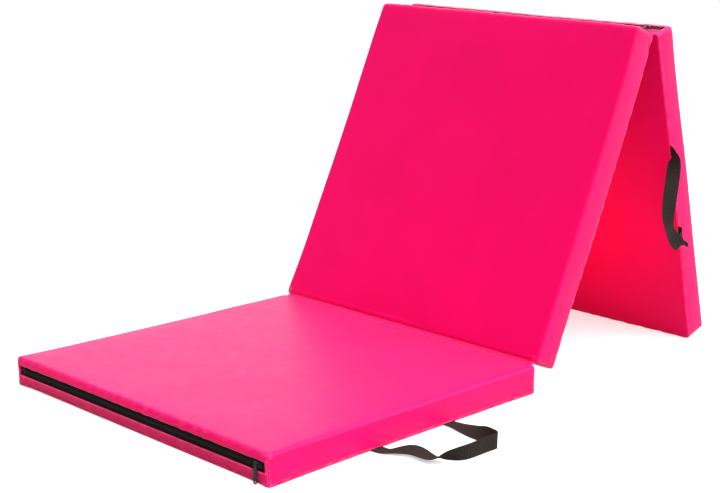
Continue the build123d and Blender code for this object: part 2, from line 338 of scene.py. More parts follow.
def cover(key, swell_points, swell_field, material):
    """The sewn cover of one panel as a closed form, with the zip's pocket sunk in its end."""
    param, faces, index = lattice(COVER_X, COVER_S, COVER_T, in_window)
    base_inset = 0.0 if key == "a" else TOP_INSET
    shape = rounded(param, TOP_INSET, 0.0, base_inset)
    swell = interpolated(swell_points, swell_field, param)
    x, s, t = param.T
    zip_end = 1 - step(0.0, 0.03, s)
    near_zip = zip_end * step(0.012, 0.020, t) * (1 - step(OPEN_HIGH, 0.046, t))
    move = swell * SWELL * (1 - 0.75 * near_zip)[:, None]
    move[:, :2] *= (0.35 + 0.45 * step(0.005, 0.03, t))[:, None]
    if key == "a":  # flat where it lies on the floor
        move[:, 2] = np.where(t < 0.012, 0, move[:, 2])
    shape = shape + move

    # each corner stands out as a small ear, so the sides look drawn in between them
    for cx, cs in CORNERS:
        reach = np.hypot(x - cx, s - cs)
        size = RIDGE_EAR if key == "b" and cs == 0 else EAR
        ear = size * np.exp(-((reach / EAR_REACH) ** 2))
        shape[:, 0] += np.sign(cx) * ear
        if key == "a" or cs == 0:
            shape[:, 1] -= (0.4 if cs == 0 else 0.2) * ear
    if key == "a":  # the zipped end leans: its top towards -X, its foot towards +X
        lean = 1 - step(0.0, 0.22, s)
        top_shift, foot_shift = -0.0034 * step(0.01, 0.05, t), 0.0026 * (1 - step(0.006, 0.04, t))
        shape[:, 0] += lean * np.where(x < 0, top_shift, foot_shift)
        lift = (1 - step(0.0, 0.05, s)) * (1 - step(-HALF, 0.1, x)) * (1 - step(0.003, 0.012, t))
        shape[:, 2] += 0.0016 * lift * (1 - step(0.0, 0.012, s))
    if key == "b":  # its end slopes back at the ridge, so the rear panel's zip shows behind it
        shape[:, 1] += 0.0022 * step(0.036, 0.050, t) * (1 - step(0.0, 0.03, s))
    if key == "c":  # its outer face swells most near the foot
        foot_end = step(0.10, 0.60, s) * step(0.02, 0.05, t)
        shape[:, 2] += 0.0036 * foot_end
        shape[:, 1] += 0.0008 * foot_end * step(LENGTH - 0.03, LENGTH, s)

    # side walls stand out at mid height between the seams
    belly = np.clip(1 - ((t - 0.027) / 0.024) ** 2, 0, 1) * BELLY
    box_side = np.abs(x) > HALF - ON
    box_end = (s < ON) | (s > LENGTH - ON)
    outward = (np.sign(x), np.where(s < LENGTH / 2, -1, 1))
    end_share = np.where(s < LENGTH / 2, 0.3, 1.0 if key == "c" else 0.1)  # less where two panels meet
    for axis, mask, run, share in ((0, box_side, s, 1.0), (1, box_end, x + HALF, end_share)):
        hold = step(0.0, 0.012, run) * (1 - step(LENGTH - 0.012, LENGTH, run))
        shape[:, axis] += np.where(mask, belly * hold * outward[axis] * share, 0)

    # the strip under the zip leans in towards its foot
    tuck = (1 - step(0.0, 0.012, s)) * (1 - step(0.0, 0.021, t))
    shape[:, 1] += 0.0036 * tuck * (1 - step(HALF - 0.03, HALF, np.abs(x)))
    shape[:, 2] += bow(key, s)

    # seams: the one round the foot, and one up each corner
    seam = np.abs(t - SEAM_T) < ON
    flat_in = np.zeros_like(shape)
    flat_in[:, 0] = np.where(box_side, -outward[0], 0)
    flat_in[:, 1] = np.where(box_end, -outward[1], 0)
    flat_in /= np.maximum(np.linalg.norm(flat_in, axis=1, keepdims=True), 1)
    shape += flat_in * np.where(seam, SEAM_GROOVE, 0)[:, None]
    proud = (np.abs(t - ABOVE_SEAM) < ON) | (np.abs(t - BELOW_SEAM) < ON)
    shape -= flat_in * np.where(proud, SEAM_BANK, 0)[:, None]
    corner = box_side & box_end & (t > SEAM_T) & (t < THICK - 0.003)
    shape += flat_in * np.where(corner, CORNER_GROOVE, 0)[:, None]
    beside = (box_side & (np.minimum(s, LENGTH - s) < 0.0017) & ~box_end) | (
        box_end & (HALF - np.abs(x) < 0.0017) & ~box_side
    )
    beside &= (t > SEAM_T) & (t < THICK - 0.006)
    shape -= flat_in * np.where(beside, CORNER_BANK, 0)[:, None]

    # the cover is folded double along the zip, so it stands a little proud there
    edge = np.minimum(np.abs(t - OPEN_HIGH), np.abs(t - OPEN_LOW))
    double = zip_end * (s < ON) * (np.abs(x) < ZIP_HALF + 0.004) * np.exp(-((edge / 0.0022) ** 2))
    shape[:, 1] -= ZIP_HEM * double

    points, extra = list(map(tuple, shape)), []
    i0, i1 = WINDOW_X
    rim = [(i, WINDOW_LOW) for i in range(i0, i1)]
    rim += [(i1, k) for k in range(WINDOW_LOW, WINDOW_HIGH)]
    rim += [(i, WINDOW_HIGH) for i in range(i1, i0, -1)]
    rim += [(i0, k) for k in range(WINDOW_HIGH, WINDOW_LOW, -1)]
    rings = [[index[i, 0, k] for i, k in rim]]
    for depth in (0.0006, 0.0016, POCKET):
        ring = []
        for i, k in rim:
            px, ps, pt = shape[index[i, 0, k]]
            ring.append(len(points))
            points.append((px, max(ps, 0) + depth, pt))
        rings.append(ring)
    for outer, inner in zip(rings, rings[1:]):
        for n in range(len(rim)):
            m = (n + 1) % len(rim)
            extra.append((outer[n], outer[m], inner[m], inner[n]))
    last = {rim[n]: rings[-1][n] for n in range(len(rim))}
    for i in range(i0, i1 + 1):
        for k in range(WINDOW_LOW, WINDOW_HIGH + 1):
            if (i, k) not in last:
                last[i, k] = len(points)
                points.append((COVER_X[i], POCKET, COVER_T[k]))
    for i in range(i0, i1):
        for k in range(WINDOW_LOW, WINDOW_HIGH):
            extra.append((last[i, k], last[i + 1, k], last[i + 1, k + 1], last[i, k + 1]))

    obj = new_object(f"panel_cover_{key}", points, faces + extra, material)
    crease = obj.data.attributes.new("crease_edge", "FLOAT", "EDGE")
    marks = np.zeros(len(obj.data.edges), dtype=np.float32)
    total = len(param)
    for n, e in enumerate(obj.data.edges):
        a, b = e.vertices
        if a < total and b < total:
            if (seam[a] and seam[b]) or (corner[a] and corner[b]):
                marks[n] = 0.85
    crease.data.foreach_set("value", marks)
    subdivided(obj)
    mesh = obj.data
    if mesh.attributes.get("crease_edge"):
        mesh.attributes.remove(mesh.attributes["crease_edge"])

    # fine unevenness, puckers along the seams, and dents at the corners
    co, normal = per_vertex(mesh, "co"), per_vertex(mesh, "normal")
    x, s, t = co.T
    t = t - bow(key, s)
    to_edge = np.minimum(np.minimum(s, LENGTH - s), HALF - np.abs(x))
    rise = waves(co, f"broad {key}", BROAD_WAVE, 0.08, 0.28)
    side_run = np.where(np.abs(np.abs(x) - HALF) < 0.004, s, x)
    rng = random.Random(f"pucker {key}")
    pucker = np.zeros(len(co))
    sines = 9
    for _ in range(sines):
        pucker += np.sin(2 * math.pi * side_run / rng.uniform(0.016, 0.050) + rng.uniform(0, 6.3))
    pucker /= sines
    wall = (t > 0.0005) & (t < THICK - 0.001)
    foot = np.exp(-(((t - SEAM_T) / 0.008) ** 2)) * wall * np.exp(-((np.maximum(to_edge, 0) / 0.007) ** 2))
    rise += FOOT_PUCKER * pucker * foot
    front = (s < 0.004) & (np.abs(x) < ZIP_HALF)
    lip = np.exp(-((np.minimum(np.abs(t - 0.0388), np.abs(t - 0.0192)) / 0.005) ** 2)) * front
    rise += LIP_PUCKER * pucker * lip
    roll = np.exp(-(((t - 0.0455) / 0.006) ** 2)) * (s < 0.012)
    rise += ROLL_PUCKER * pucker * roll
    for cx, cs in CORNERS:
        reach = np.hypot(x - cx, s - cs)
        angle = np.arctan2(np.abs(s - cs), np.abs(x - cx))
        fold = np.sin(t / 0.0085 * 2 * math.pi + 3 * angle + rng.uniform(0, 6)) * (t > 0.006)
        rise += CORNER_DENT * fold * np.exp(-((reach / 0.014) ** 2))
    inside_pocket = (
        (s > 0.0002) & (s < POCKET + 0.001)
        & (np.abs(t - ZIP_T) < ZIP_HALF_OPEN + 0.001) & (np.abs(x) < ZIP_HALF + 0.001)
    )
    rise = np.where(inside_pocket, 0, rise)
    if key == "a":
        rise = np.where(t < 0.0012, 0, rise)
    co = co + normal * rise[:, None]
    above = np.array(ZIP_PLACE[key].row[2])  # gives a point's height over the floor
    sunk = np.minimum(co @ above[:3] + above[3], 0.0)
    co -= sunk[:, None] * above[:3]
    if key != "c":  # the hinged ends meet when the mat lies flat
        beyond = co[:, 1] - LENGTH
        co[:, 1] = np.where(beyond > 0, LENGTH + END_GIVE * np.tanh(beyond / END_GIVE), co[:, 1])
    move_to(mesh, co)
    obj.matrix_world = ZIP_PLACE[key]
    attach(obj, BODY[key])
    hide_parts(f"cover_top_{key}", f"cover_base_{key}", f"end_strip_{key}")
    return obj


def foam(key, material):
    """The foam block, just inside its cover, with a step that clears the zip."""
    near = [0, 0.004, 0.010]
    xs, ss = lines(WIDTH, 0.030, near) - HALF, lines(LENGTH, 0.030, near)
    ts = np.array([0, 0.004, 0.012, 0.029, 0.044, THICK])
    param, faces, _ = lattice(xs, ss, ts)
    shape = rounded(param, TOP_INSET + 0.0018, 0.0038, 0.0018 + (0 if key == "a" else TOP_INSET))
    shape[:, 1] = np.maximum(shape[:, 1], 0.0055)
    shape[:, 2] += bow(key, shape[:, 1])
    obj = new_object(f"foam_block_{key}", shape, faces, material)
    subdivided(obj)
    obj.matrix_world = ZIP_PLACE[key]
    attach(obj, BODY[key])
    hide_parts(f"foam_core_{key}")


# ---- materials ---------------------------------------------------------------------------------
def material(name, colour, roughness, specular=0.5, metallic=0.0):
    mat = bpy.data.materials.new(name)
    mat.use_nodes = True
    shader = mat.node_tree.nodes["Principled BSDF"]
    shader.inputs["Base Color"].default_value = (*colour, 1)
    shader.inputs["Roughness"].default_value = roughness
    shader.inputs["Specular IOR Level"].default_value = specular
    shader.inputs["Metallic"].default_value = metallic
    return mat, mat.node_tree.nodes, mat.node_tree.links, shader


def ramp(nodes, links, source, low, high, out_low, out_high):
    """The source mapped from one range to another, clamped."""
    node = nodes.new("ShaderNodeMapRange")
    links.new(source, node.inputs["Value"])
    for socket, value in (("From Min", low), ("From Max", high), ("To Min", out_low), ("To Max", out_high)):
        node.inputs[socket].default_value = value
    return node.outputs["Result"]


def colour_mix(nodes, links, factor, first, second):
    node = nodes.new("ShaderNodeMix")
    node.data_type = "RGBA"
    links.new(factor, node.inputs[0])
    node.inputs[6].default_value = (*first, 1)
    node.inputs[7].default_value = (*second, 1)
    return node.outputs[2]


def math_node(nodes, links, kind, first, second=None):
    node = nodes.new("ShaderNodeMath")
    node.operation = kind
    for socket, value in zip(node.inputs, (first, second)):
        if value is None:
            continue
        if isinstance(value, (int, float)):
            socket.default_value = value
        else:
            links.new(value, socket)
    return node.outputs[0]


def noise(nodes, links, vector, scale, detail=3.0, rough=0.5):
    node = nodes.new("ShaderNodeTexNoise")
    links.new(vector, node.inputs["Vector"])
    node.inputs["Scale"].default_value = scale
    node.inputs["Detail"].default_value = detail
    node.inputs["Roughness"].default_value = rough
    return node.outputs["Fac"]


def bump(nodes, links, height, shader, strength, distance, previous=None):
    node = nodes.new("ShaderNodeBump")
    node.inputs["Strength"].default_value = strength
    node.inputs["Distance"].default_value = distance
    links.new(height, node.inputs["Height"])
    if previous is not None:
        links.new(previous, node.inputs["Normal"])
    links.new(node.outputs["Normal"], shader.inputs["Normal"])
    return node.outputs["Normal"]


PINK = (0.63, 0.0, 0.093)
DEEP_PINK = (0.59, 0.0, 0.083)
# a paler pink painted along the rounded edges as a highlight
EDGE_HIGHLIGHT_PINK = (0.82, 0.085, 0.24)
RIB_PITCH = 0.0030  # of the webbing


def vinyl(name, colour, deep, specular=0.085, rough=(0.36, 0.46)):
    """Coated vinyl: a fine pebble grain, slightly uneven gloss and colour, and a painted highlight along its
    rounded edges.
    """
    mat, nodes, links, shader = material(name, colour, sum(rough) / 2, specular)
    where = nodes.new("ShaderNodeTexCoord").outputs["Object"]
    cloud = noise(nodes, links, where, 9.0, 4.0, 0.55)
    mottle = ramp(nodes, links, cloud, 0.3, 0.7, 0.0, 1.0)
    # painted highlight: how strongly each convex rounded edge is painted paler
    curve = nodes.new("ShaderNodeNewGeometry").outputs["Pointiness"]
    edge_highlight = ramp(nodes, links, curve, 0.507, 0.552, 0.0, 0.65)
    highlight_mix = nodes.new("ShaderNodeMix")  # painted highlight: the rounded edges are painted paler, as if lit along them
    highlight_mix.data_type = "RGBA"
    links.new(edge_highlight, highlight_mix.inputs[0])
    links.new(colour_mix(nodes, links, mottle, colour, deep), highlight_mix.inputs[6])
    highlight_mix.inputs[7].default_value = (*EDGE_HIGHLIGHT_PINK, 1)
    links.new(highlight_mix.outputs[2], shader.inputs["Base Color"])
    smear = noise(nodes, links, where, 38.0, 5.0, 0.6)
    links.new(ramp(nodes, links, smear, 0.3, 0.7, *rough), shader.inputs["Roughness"])
    shader.inputs["Sheen Weight"].default_value = 0.19
    shader.inputs["Sheen Roughness"].default_value = 0.33
    shader.inputs["Sheen Tint"].default_value = (1.0, 0.86, 0.93, 1)
    grain = nodes.new("ShaderNodeTexVoronoi")
    grain.feature = "SMOOTH_F1"
    grain.inputs["Scale"].default_value = 900.0
    grain.inputs["Smoothness"].default_value = 0.6
    links.new(where, grain.inputs["Vector"])
    first = bump(nodes, links, grain.outputs["Distance"], shader, 0.22, 0.0002)
    weave = noise(nodes, links, where, 160.0, 3.0, 0.5)
    bump(nodes, links, weave, shader, 0.10, 0.0006, first)
    return mat


def woven(name, colour, lit, pitch_u, pitch_v, depth, specular=0.2, rough=(0.7, 0.9), ribs=False):
    """Woven tape or webbing, its threads laid out along the strip's own length and width."""
    mat, nodes, links, shader = material(name, colour, rough[0], specular)
    uv = nodes.new("ShaderNodeUVMap")
    uv.uv_map = "UVMap"
    split = nodes.new("ShaderNodeSeparateXYZ")
    links.new(uv.outputs["UV"], split.inputs["Vector"])
    across = math_node(nodes, links, "MULTIPLY", split.outputs["X"], 2 * math.pi / pitch_u)
    along = math_node(nodes, links, "MULTIPLY", split.outputs["Y"], 2 * math.pi / pitch_v)
    wave_u = math_node(nodes, links, "SINE", across)
    slant = math_node(nodes, links, "ADD", along, math_node(nodes, links, "MULTIPLY", wave_u, 0.9))
    wave_v = math_node(nodes, links, "SINE", slant)
    both = math_node(nodes, links, "MULTIPLY", wave_u, wave_v) if not ribs else wave_v
    height = math_node(nodes, links, "ADD", both, math_node(nodes, links, "MULTIPLY", wave_u, 0.35))
    fuzz = noise(nodes, links, uv.outputs["UV"], 900.0, 3.0, 0.6)
    mixed = math_node(nodes, links, "ADD", height, fuzz)
    shade = ramp(nodes, links, mixed, -0.6, 1.8, 0.0, 1.0)
    # painted highlight and shade: the raised threads are painted towards the lit colour and the hollows
    # between them darker, with a random fuzz in the tone as well
    links.new(colour_mix(nodes, links, shade, colour, lit), shader.inputs["Base Color"])
    links.new(ramp(nodes, links, fuzz, 0.3, 0.7, *rough), shader.inputs["Roughness"])
    bump(nodes, links, mixed, shader, 0.7, depth)
    return mat


def plain_detail(name, colour, lit, roughness, specular, metallic, scale, depth):
    """Nylon, painted metal or foam: speckled colour, uneven gloss and a fine surface."""
    mat, nodes, links, shader = material(name, colour, roughness, specular, metallic)
    where = nodes.new("ShaderNodeTexCoord").outputs["Object"]
    speck = noise(nodes, links, where, scale, 4.0, 0.6)
    shade = ramp(nodes, links, speck, 0.35, 0.7, 0.0, 1.0)
    links.new(colour_mix(nodes, links, shade, colour, lit), shader.inputs["Base Color"])
    links.new(
        ramp(nodes, links, speck, 0.3, 0.7, roughness * 0.85, min(1.0, roughness * 1.2)),
        shader.inputs["Roughness"],
    )
    bump(nodes, links, speck, shader, 0.35, depth)
    return mat


VINYL = vinyl("pink_vinyl", PINK, DEEP_PINK)
HINGE_VINYL = vinyl("pink_hinge_vinyl", PINK, DEEP_PINK)
THREAD = plain_detail("pink_thread", (0.85, 0.0, 0.10), (1.0, 0.01, 0.15), 0.6, 0.2, 0.0, 2500.0, 0.0001)
TAPE = woven("black_zip_tape", (0.0020, 0.0014, 0.0014), (0.0065, 0.0046, 0.0046), 0.0012, 0.0009, 0.00012,
             specular=0.10)
COIL = plain_detail("black_nylon_coil", (0.0035, 0.0028, 0.0028), (0.0105, 0.0082, 0.0080), 0.45, 0.16, 0.0,
                    700.0, 0.0001)
METAL = plain_detail("black_enamel", (0.008, 0.007, 0.007), (0.020, 0.018, 0.018), 0.40, 0.28, 0.10, 900.0,
                     0.00008)
WEBBING = woven("black_webbing", (0.0040, 0.0026, 0.0021), (0.030, 0.021, 0.0165), 0.0024, RIB_PITCH, 0.0005,
                specular=0.13, rough=(0.66, 0.85), ribs=True)
FOAM = plain_detail("cream_foam", (0.72, 0.66, 0.46), (0.84, 0.79, 0.60), 0.95, 0.1, 0.0, 650.0, 0.0008)


# ---- zip ---------------------------------------------------------------------------------------
TAPE_FACE = 0.0010
TAPE_THICK = 0.0008
TOOTH_PITCH = 0.0017
CHAIN = (-0.284, 0.291)
STITCH_PITCH, STITCH_LENGTH, STITCH_R = 0.0042, 0.0030, 0.00028


def zip_tape(key, side):
    """Half of the tape: a thin woven strip, a little raised towards the coil."""
    half = ZIP_HALF - 0.0002
    count = 150
    spans = [0.0010, 0.0014, 0.0032, 0.0050, 0.0070, 0.0087]
    points, uv, faces = [], [], []
    for i in range(count + 1):
        x = -half + 2 * half * i / count
        for layer in (0, 1):
            for v in spans:
                sag = 0.00005 * math.sin(x * 61 + side) * math.sin(math.pi * v / spans[-1])
                lift = 0.00025 * math.exp(-(((v - 0.004) / 0.002) ** 2)) + sag
                points.append((x, TAPE_FACE - lift + layer * TAPE_THICK, ZIP_T + side * v))
                uv.append((v, x))
    n = len(spans)
    ring = ring_of(n)
    for i in range(count):
        a, b = i * 2 * n, (i + 1) * 2 * n
        for q in range(2 * n):
            r = (q + 1) % (2 * n)
            quad = (a + ring[q], b + ring[q], b + ring[r], a + ring[r])
            faces.append(quad if side > 0 else quad[::-1])
    for a, flip in ((0, False), (count * 2 * n, True)):
        cap = tuple(a + r for r in ring)
        if flip != (side > 0):
            cap = cap[::-1]
        faces.append(cap)
    name = "upper" if side > 0 else "lower"
    obj = new_object(f"zip_tape_{name}_{key}_woven", points, faces, TAPE, uv=uv)
    obj.matrix_world = ZIP_PLACE[key]
    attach(obj, BODY[key])
    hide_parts(f"zip_tape_{name}_{key}")


def zip_coil(key, side):
    """One row of coil turns, each a rounded loop across its half of the chain."""
    sides = 8
    points, faces = [], []
    flip = -1 if key == "b" else 1
    low, high = CHAIN
    count = int((high - low) / TOOTH_PITCH)
    profile = [  # across the chain from its middle, how far it stands out, thickness
        (-0.00045, 0.00105, 0.00030), (-0.00010, 0.00130, 0.00060), (0.0006, 0.00135, 0.00062),
        (0.0014, 0.00125, 0.00050), (0.0022, 0.00105, 0.00048), (0.0029, 0.00060, 0.00046),
        (0.0032, 0.00005, 0.00042),
    ]
    for n in range(count):
        x = low + (n + (0.25 if side > 0 else 0.75)) * TOOTH_PITCH
        start = len(points)
        for v, out, thick in profile:
            for q in range(sides):
                turn = 2 * math.pi * q / sides
                points.append((
                    flip * (x + thick * math.cos(turn)),
                    TAPE_FACE - out + 0.9 * thick * math.sin(turn),
                    ZIP_T + side * v,
                ))
        for r in range(len(profile) - 1):
            for q in range(sides):
                p = (q + 1) % sides
                a, b = start + r * sides, start + (r + 1) * sides
                quad = (a + q, a + p, b + p, b + q)
                faces.append(quad if side * flip > 0 else quad[::-1])
        first = tuple(range(start, start + sides))
        last = tuple(range(start + (len(profile) - 1) * sides, start + len(profile) * sides))
        faces.append(first[::-1] if side * flip > 0 else first)
        faces.append(last if side * flip > 0 else last[::-1])
    name = "upper" if side > 0 else "lower"
    obj = new_object(f"zip_coil_{name}_{key}_turns", points, faces, COIL)
    obj.matrix_world = ZIP_PLACE[key]
    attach(obj, BODY[key])
    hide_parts(f"zip_coil_{name}_{key}")


def rod(points, faces, path, radius, sides=6):
    """A short closed rod through the given points, added to a mesh being built."""
    path = [Vector(p) for p in path]
    start = len(points)
    for i, p in enumerate(path):
        along = (path[min(i + 1, len(path) - 1)] - path[max(i - 1, 0)]).normalized()
        side = along.cross(Vector((0, 0, 1)))
        if side.length < 1e-3:
            side = along.cross(Vector((0, 1, 0)))
        side.normalize()
        up = side.cross(along)
        size = radius * (0.55 if i in (0, len(path) - 1) else 1.0)
        for q in range(sides):
            turn = 2 * math.pi * q / sides
            points.append(tuple(p + side * size * math.cos(turn) + up * size * math.sin(turn)))
    for i in range(len(path) - 1):
        for q in range(sides):
            r = (q + 1) % sides
            a, b = start + i * sides, start + (i + 1) * sides
            faces.append((a + q, b + q, b + r, a + r))
    faces.append(tuple(start + q for q in range(sides)))
    faces.append(tuple(start + (len(path) - 1) * sides + q for q in reversed(range(sides))))


def surface_finder(obj):
    """A function from a point just outside the panel and a direction to the cover's surface there."""
    def find(point, direction):
        hit, where, normal, _ = obj.ray_cast(Vector(point), Vector(direction))
        return (where, normal) if hit else (Vector(point), -Vector(direction))
    return find


def zip_stitches(key, cover_obj):
    """Lock stitches along both folded edges of the zip and round the foot seam's hem."""
    find = surface_finder(cover_obj)
    points, faces = [], []

    def stitch(a, b, direction):
        ends = []
        for p in (a, ((a[0] + b[0]) / 2, (a[1] + b[1]) / 2, (a[2] + b[2]) / 2), b):
            where, normal = find(p, direction)
            ends.append(where + normal * (0.00018 if len(ends) == 1 else -0.00012))
        rod(points, faces, ends, STITCH_R)

    for t in (OPEN_LOW - 0.0026, OPEN_HIGH + 0.0026):
        x = -ZIP_HALF + 0.002
        while x < ZIP_HALF - 0.004:
            stitch((x, -0.01, t), (x + STITCH_LENGTH, -0.01, t), (0, 1, 0))
            x += STITCH_PITCH
    t = 0.0068  # just above the foot seam
    for direction, fixed in (((0, 1, 0), -0.01), ((0, -1, 0), LENGTH + 0.01)):
        x = -HALF + 0.012
        while x < HALF - 0.015:
            stitch((x, fixed, t), (x + STITCH_LENGTH, fixed, t), direction)
            x += STITCH_PITCH
    for direction, fixed in (((1, 0, 0), -HALF - 0.01), ((-1, 0, 0), HALF + 0.01)):
        s = 0.012
        while s < LENGTH - 0.015:
            stitch((fixed, s, t), (fixed, s + STITCH_LENGTH, t), direction)
            s += STITCH_PITCH
    obj = new_object(f"cover_stitches_{key}", points, faces, THREAD)
    obj.matrix_world = ZIP_PLACE[key]
    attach(obj, BODY[key])


# ---- webbing handles ---------------------------------------------------------------------------
STRAP_W = 0.025
STRAP_T = 0.0014
SEWN_T = 0.00175  # height of the webbing where the foot seam catches it
SEWN_OUT = 0.083  # of each end from the middle of the panel's side
# Stations along each loop in millimetres: place from that point of the side, then the web's own direction.
BASE_LOOP = [
    (-3, -83, 1.75, 0, -1, 0), (1.6, -83, 1.75, 0, -1, 0), (6, -83, 1.75, 0, -1, 0),
    (20, -79, 1.9, 0, -1, 0), (52, -60, 8.2, 0.15, -0.94, -0.28), (92, -60, 6.6, 0.5, -0.82, 0.1),
    (109, -47, 12.2, 0.42, -0.46, 0.78), (121, -20, 13.4, 0.08, -0.08, 0.99), (122, 8, 13.4, 0, 0, 1),
    (122, 34, 13.4, 0, 0, 1), (121, 55, 13.4, 0, 0, 1), (103, 61, 13.4, 0, 0.15, 0.98),
    (60, 70, 7.6, 0, 0.87, 0.5), (24, 80, 3.4, 0, 1, 0.08), (6, 83, 1.75, 0, 1, 0),
    (1.6, 83, 1.75, 0, 1, 0), (-3, 83, 1.75, 0, 1, 0),
]
REAR_LOOP = [
    (-3, -83, 1.75, 0, -1, 0), (1.6, -83, 1.75, 0, -1, 0), (5, -83, 1.75, 0, -1, 0),
    (10.5, -78, -2, 0.18, -0.94, 0.25), (16.5, -61, -16, 0.58, -0.46, 0.6),
    (24, -34, -39, 0.73, 0.15, 0.65), (29, -9, -58, 0.62, 0.12, 0.75), (32, 15, -69, 0.35, 0.1, 0.93),
    (34, 37, -70, 0, 0.1, 1), (33, 60, -59, 0.2, -0.25, 0.92), (29, 84, -38, 0.41, -0.54, 0.74),
    (19, 92, -20, 0.2, 0.3, 0.93), (10, 87, -4, 0, 0.97, 0.2), (6, 83, 1.75, 0, 1, 0),
    (1.6, 83, 1.75, 0, 1, 0), (-3, 83, 1.75, 0, 1, 0),
]


def eased(stations, steps):
    """A rounded path through the stations, any number of values each."""
    rows = np.array(stations, dtype=float)
    padded = np.vstack([rows[:1], rows, rows[-1:]])
    path = []
    for i in range(1, len(padded) - 2):
        p0, p1, p2, p3 = padded[i - 1 : i + 3]
        for n in range(steps):
            t = n / steps
            path.append(0.5 * (2 * p1 + (p2 - p0) * t + (2 * p0 - 5 * p1 + 4 * p2 - p3) * t * t
                               + (3 * p1 - p0 - 3 * p2 + p3) * t**3))
    path.append(rows[-1])
    return np.array(path)


def strap(key, stations):
    """A loop of ribbed webbing through its stations, from inside the cover and back."""
    path = eased(stations, 24)
    path[:, :3] *= 0.001
    path[:, 0] += HALF
    path[:, 1] += LENGTH / 2
    run = np.concatenate([[0], np.cumsum(np.linalg.norm(np.diff(path[:, :3], axis=0), axis=1))])
    count = int(run[-1] / 0.0006)
    even = np.linspace(0, run[-1], count + 1)
    path = np.stack([np.interp(even, run, path[:, c]) for c in range(6)], axis=1)
    near_wall = 1 - step(0.004, 0.045, path[:, 0] - HALF)
    path[:, 2] += (bow(key, path[:, 1]) + (0.0011 if key == "c" else 0)) * near_wall
    # a light smoothing keeps the twist even
    for _ in range(30):
        path[1:-1] = (path[:-2] + 2 * path[1:-1] + path[2:]) / 4
    along = np.gradient(path[:, :3], axis=0)
    along /= np.linalg.norm(along, axis=1, keepdims=True)
    wide = path[:, 3:] - along * (path[:, 3:] * along).sum(axis=1, keepdims=True)
    wide /= np.linalg.norm(wide, axis=1, keepdims=True)
    up = np.cross(along, wide)
    half_w, half_t = STRAP_W / 2, STRAP_T / 2
    across = np.array([-1, -0.985, -0.94, -0.82, -0.5, 0, 0.5, 0.82, 0.94, 0.985, 1])
    swell = np.array([0.35, 0.8, 1.08, 0.98, 1.0, 1.0, 1.0, 0.98, 1.08, 0.8, 0.35])
    rib = 1 + 0.22 * np.sin(2 * math.pi * even / RIB_PITCH)
    points, uv, faces = [], [], []
    n = len(across)
    for i in range(count + 1):
        cup = 0.0006 * math.sin(even[i] * 26)  # the web is never quite flat across
        from_root = min(even[i], even[-1] - even[i])
        tuck = 0.62 * math.exp(-(((from_root - 0.011) / 0.008) ** 2)) if key == "c" else 0
        for face in (1, -1):
            for q in range(n):
                arch = cup * (1 - across[q] ** 2)
                side = across[q] * (1 - tuck * max(across[q], 0))  # one edge is gathered in at the seam
                ridge = rib[i] if abs(across[q]) < 0.9 else 1.0
                lift = face * half_t * swell[q] * ridge * 0.86 + arch
                points.append(path[i, :3] + wide[i] * half_w * side + up[i] * lift)
                uv.append((half_w * (across[q] + 1), even[i]))
    ring = ring_of(n)
    for i in range(count):
        a, b = i * 2 * n, (i + 1) * 2 * n
        for q in range(2 * n):
            r = (q + 1) % (2 * n)
            faces.append((a + ring[q], b + ring[q], b + ring[r], a + ring[r]))
    faces.append(tuple(ring))
    faces.append(tuple(count * 2 * n + r for r in reversed(ring)))
    obj = new_object(f"handle_{key}_webbing", points, faces, WEBBING, uv=uv)
    obj.matrix_world = PLACE[key]
    bpy.context.view_layer.update()
    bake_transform(obj)
    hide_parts(f"handle_strap_{key}")


def sewn_ends(key):
    """The ends of the webbing, caught inside the cover's foot seam."""
    points, uv, faces = [], [], []
    rows, cols = 12, 9
    for side in (-1, 1):
        middle = LENGTH / 2 + side * SEWN_OUT
        rise = bow(key, middle) + (0.0016 if key == "c" else 0)
        start = len(points)
        for i in range(rows + 1):
            x = HALF - 0.0165 + 0.013 * i / rows
            for face in (1, -1):
                for q in range(cols):
                    across = q / (cols - 1) * 2 - 1
                    thin = 0.4 if abs(across) > 0.98 else 0.9 + 0.1 * math.sin(i * 2.2)
                    lift = face * STRAP_T / 2 * thin
                    points.append((x, middle + across * STRAP_W / 2, SEWN_T + rise + lift))
                    uv.append((STRAP_W / 2 * (across + 1), x))
        wrap(faces, start, rows, ring_of(cols))
    obj = new_object(f"handle_{key}_sewn_ends", points, faces, WEBBING, uv=uv)
    obj.matrix_world = PLACE[key]
    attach(obj, BODY[key])
    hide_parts(f"handle_tabs_{key}")


# ---- cloth over the hinge lines ----------------------------------------------------------------
HINGE_T = 0.0007


def hinge_strip(name, node, hinge, profile, half_width):
    """A strip of the cover's vinyl across two panels, swept along X from a profile of (y, z) points."""
    profile = eased(profile, 6) * 0.001
    count = 60
    tangent = np.gradient(profile, axis=0)
    tangent /= np.linalg.norm(tangent, axis=1, keepdims=True)
    out = np.stack([-tangent[:, 1], tangent[:, 0]], axis=1)
    points, uv, faces = [], [], []
    run = np.concatenate([[0], np.cumsum(np.linalg.norm(np.diff(profile, axis=0), axis=1))])
    m = len(profile)
    for i in range(count + 1):
        x = -half_width + 2 * half_width * i / count
        for layer in (0.5, -0.5):
            for q in range(m):
                thin = HINGE_T * (0.4 if q in (0, m - 1) else 1.0)
                y, z = profile[q] + out[q] * layer * thin
                points.append((x, hinge.y + y, hinge.z + z))
                uv.append((run[q], x))
    wrap(faces, 0, count, ring_of(m))
    obj = new_object(name, points, faces, HINGE_VINYL, uv=uv)
    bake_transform(obj)
    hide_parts(node)


